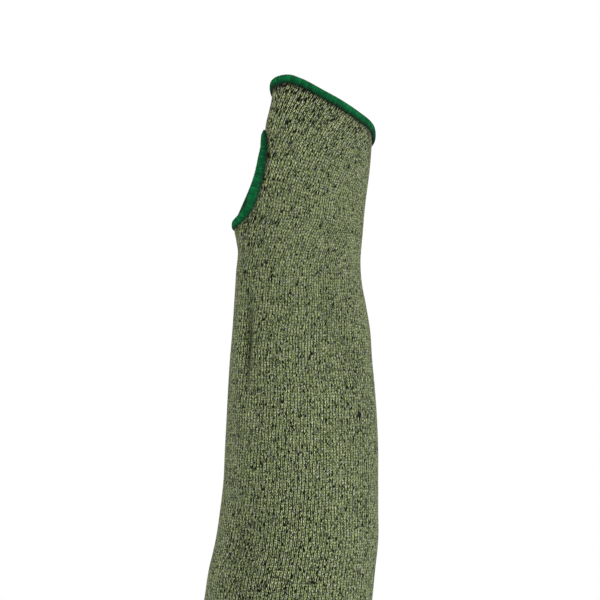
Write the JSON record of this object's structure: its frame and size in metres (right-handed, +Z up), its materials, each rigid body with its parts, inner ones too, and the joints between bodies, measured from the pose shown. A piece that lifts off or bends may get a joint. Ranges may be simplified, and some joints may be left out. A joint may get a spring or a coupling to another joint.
{
  "type": "cut resistant sleeve",
  "caption": "Knitted marl tube sleeve for hand and forearm with a thumb hole, slanted bound finger edge and bound arm edge, in its worn form.",
  "frame": {"origin": "centre of the wrist, where the tube is narrowest, which is where a forearm or a display form holds the sleeve", "axes": "+Z runs up the sleeve from the arm to the fingers, -Y faces the viewer of the picture (thumb side and back of the hand), -X is the side of the thumb hole"},
  "size_m": [0.1317, 0.1054, 0.4571],
  "materials": {
    "marl_knit": "fine jersey knit of olive, lime, grey and black marled yarn",
    "green_overlock": "dense overlock of dark green thread"
  },
  "bodies": {
    "root": {"knit_sleeve": "marl_knit", "hand_edge_binding": "green_overlock", "thumb_hole_binding": "green_overlock", "arm_edge_binding": "green_overlock"}
  },
  "joints": []
}
